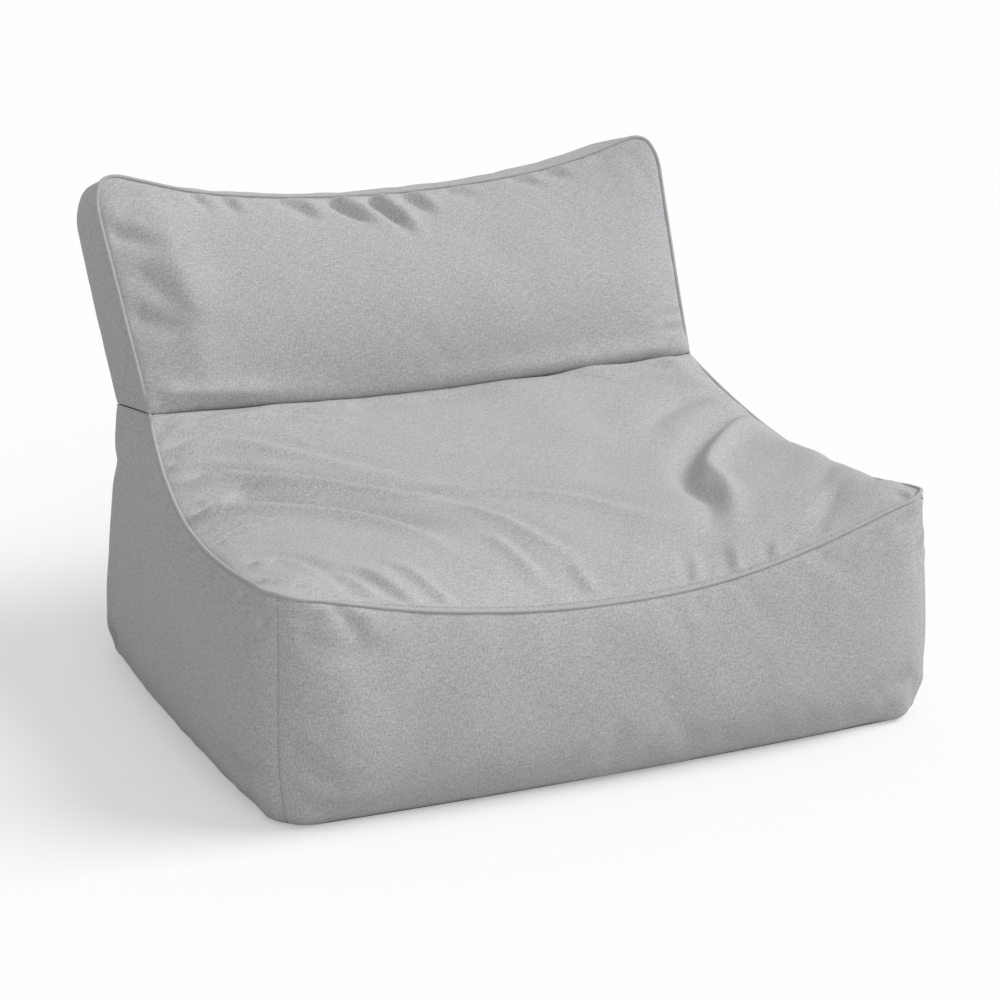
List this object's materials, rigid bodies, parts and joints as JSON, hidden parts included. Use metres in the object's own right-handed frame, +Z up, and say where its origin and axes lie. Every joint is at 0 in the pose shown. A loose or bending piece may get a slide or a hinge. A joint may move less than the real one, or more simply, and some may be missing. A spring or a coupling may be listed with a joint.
{
  "type": "bean bag chair",
  "caption": "Low bean bag lounge chair: boxed seat bag with piped seams and a boxed backrest bag sewn to its crease, zipped at the rear.",
  "frame": {"origin": "on the floor under the middle of the chair's whole box", "axes": "+Z up, the sitter faces -Y, +X is the sitter's left"},
  "size_m": [0.9864, 0.9386, 0.6835],
  "materials": {
    "cover_cloth": "woven light grey melange upholstery cloth, matt",
    "piping_cord": "cord covered in the same cloth on the bias, matt",
    "base_cloth": "plain hard-wearing base cloth, matt",
    "liner_cloth": "thin plain woven polyester",
    "closure_strip": "narrow woven closure strip",
    "bead_fill": "expanded polystyrene beads",
    "zip_tape": "woven polyester tape",
    "zip_chain": "nylon coil",
    "zip_metal": "satin grey lacquer on zinc"
  },
  "bodies": {
    "seat": {"base_panel": "base_cloth", "seat_front_panel": "cover_cloth", "seat_left_panel": "cover_cloth", "seat_right_panel": "cover_cloth", "seat_rear_panel": "cover_cloth", "seat_top_panel": "cover_cloth", "divider_panel": "cover_cloth", "seat_piping": "piping_cord", "seat_liner": "liner_cloth", "seat_liner_closure": "closure_strip", "seat_bead_fill": "bead_fill", "seat_zip_tape_upper": "zip_tape", "seat_zip_tape_lower": "zip_tape", "seat_zip_chain": "zip_chain", "seat_zip_closed_stop": "zip_metal", "seat_zip_open_stop": "zip_metal"},
    "backrest": {"back_front_panel": "cover_cloth", "back_rear_panel": "cover_cloth", "back_left_gusset": "cover_cloth", "back_right_gusset": "cover_cloth", "back_top_gusset": "cover_cloth", "back_front_piping": "piping_cord", "back_liner": "liner_cloth", "back_liner_closure": "closure_strip", "back_bead_fill": "bead_fill", "back_zip_tape_upper": "zip_tape", "back_zip_tape_lower": "zip_tape", "back_zip_chain": "zip_chain", "back_zip_closed_stop": "zip_metal", "back_zip_open_stop": "zip_metal"},
    "seat_slider": {"seat_zip_slider": "zip_metal"},
    "seat_pull": {"seat_zip_pull": "zip_metal"},
    "back_slider": {"back_zip_slider": "zip_metal"},
    "back_pull": {"back_zip_pull": "zip_metal"}
  },
  "joints": [
    {"name": "backrest_lean", "type": "hinge", "parent": "seat", "child": "backrest", "pos_m": [0, 0.17956, 0.37645], "axis": [1, 0, 0], "range_deg": [-8, 12], "stiffness_Nm_per_rad": 45, "springref_deg": 2.86},
    {"name": "seat_zip_slide", "type": "slide", "parent": "seat", "child": "seat_slider", "axis": [-1, 0, 0], "range_m": [0, 0.499]},
    {"name": "seat_pull_turn", "type": "hinge", "parent": "seat_slider", "child": "seat_pull", "pos_m": [0.2499, 0.38479, 0.08606], "axis": [0, -0.0956, -0.9954], "range_deg": [0, 170]},
    {"name": "back_zip_slide", "type": "slide", "parent": "backrest", "child": "back_slider", "axis": [-1, 0, 0], "range_m": [0, 0.399]},
    {"name": "back_pull_turn", "type": "hinge", "parent": "back_slider", "child": "back_pull", "pos_m": [0.1999, 0.43777, 0.46208], "axis": [0, -0.4085, -0.9128], "range_deg": [0, 170]}
  ]
}
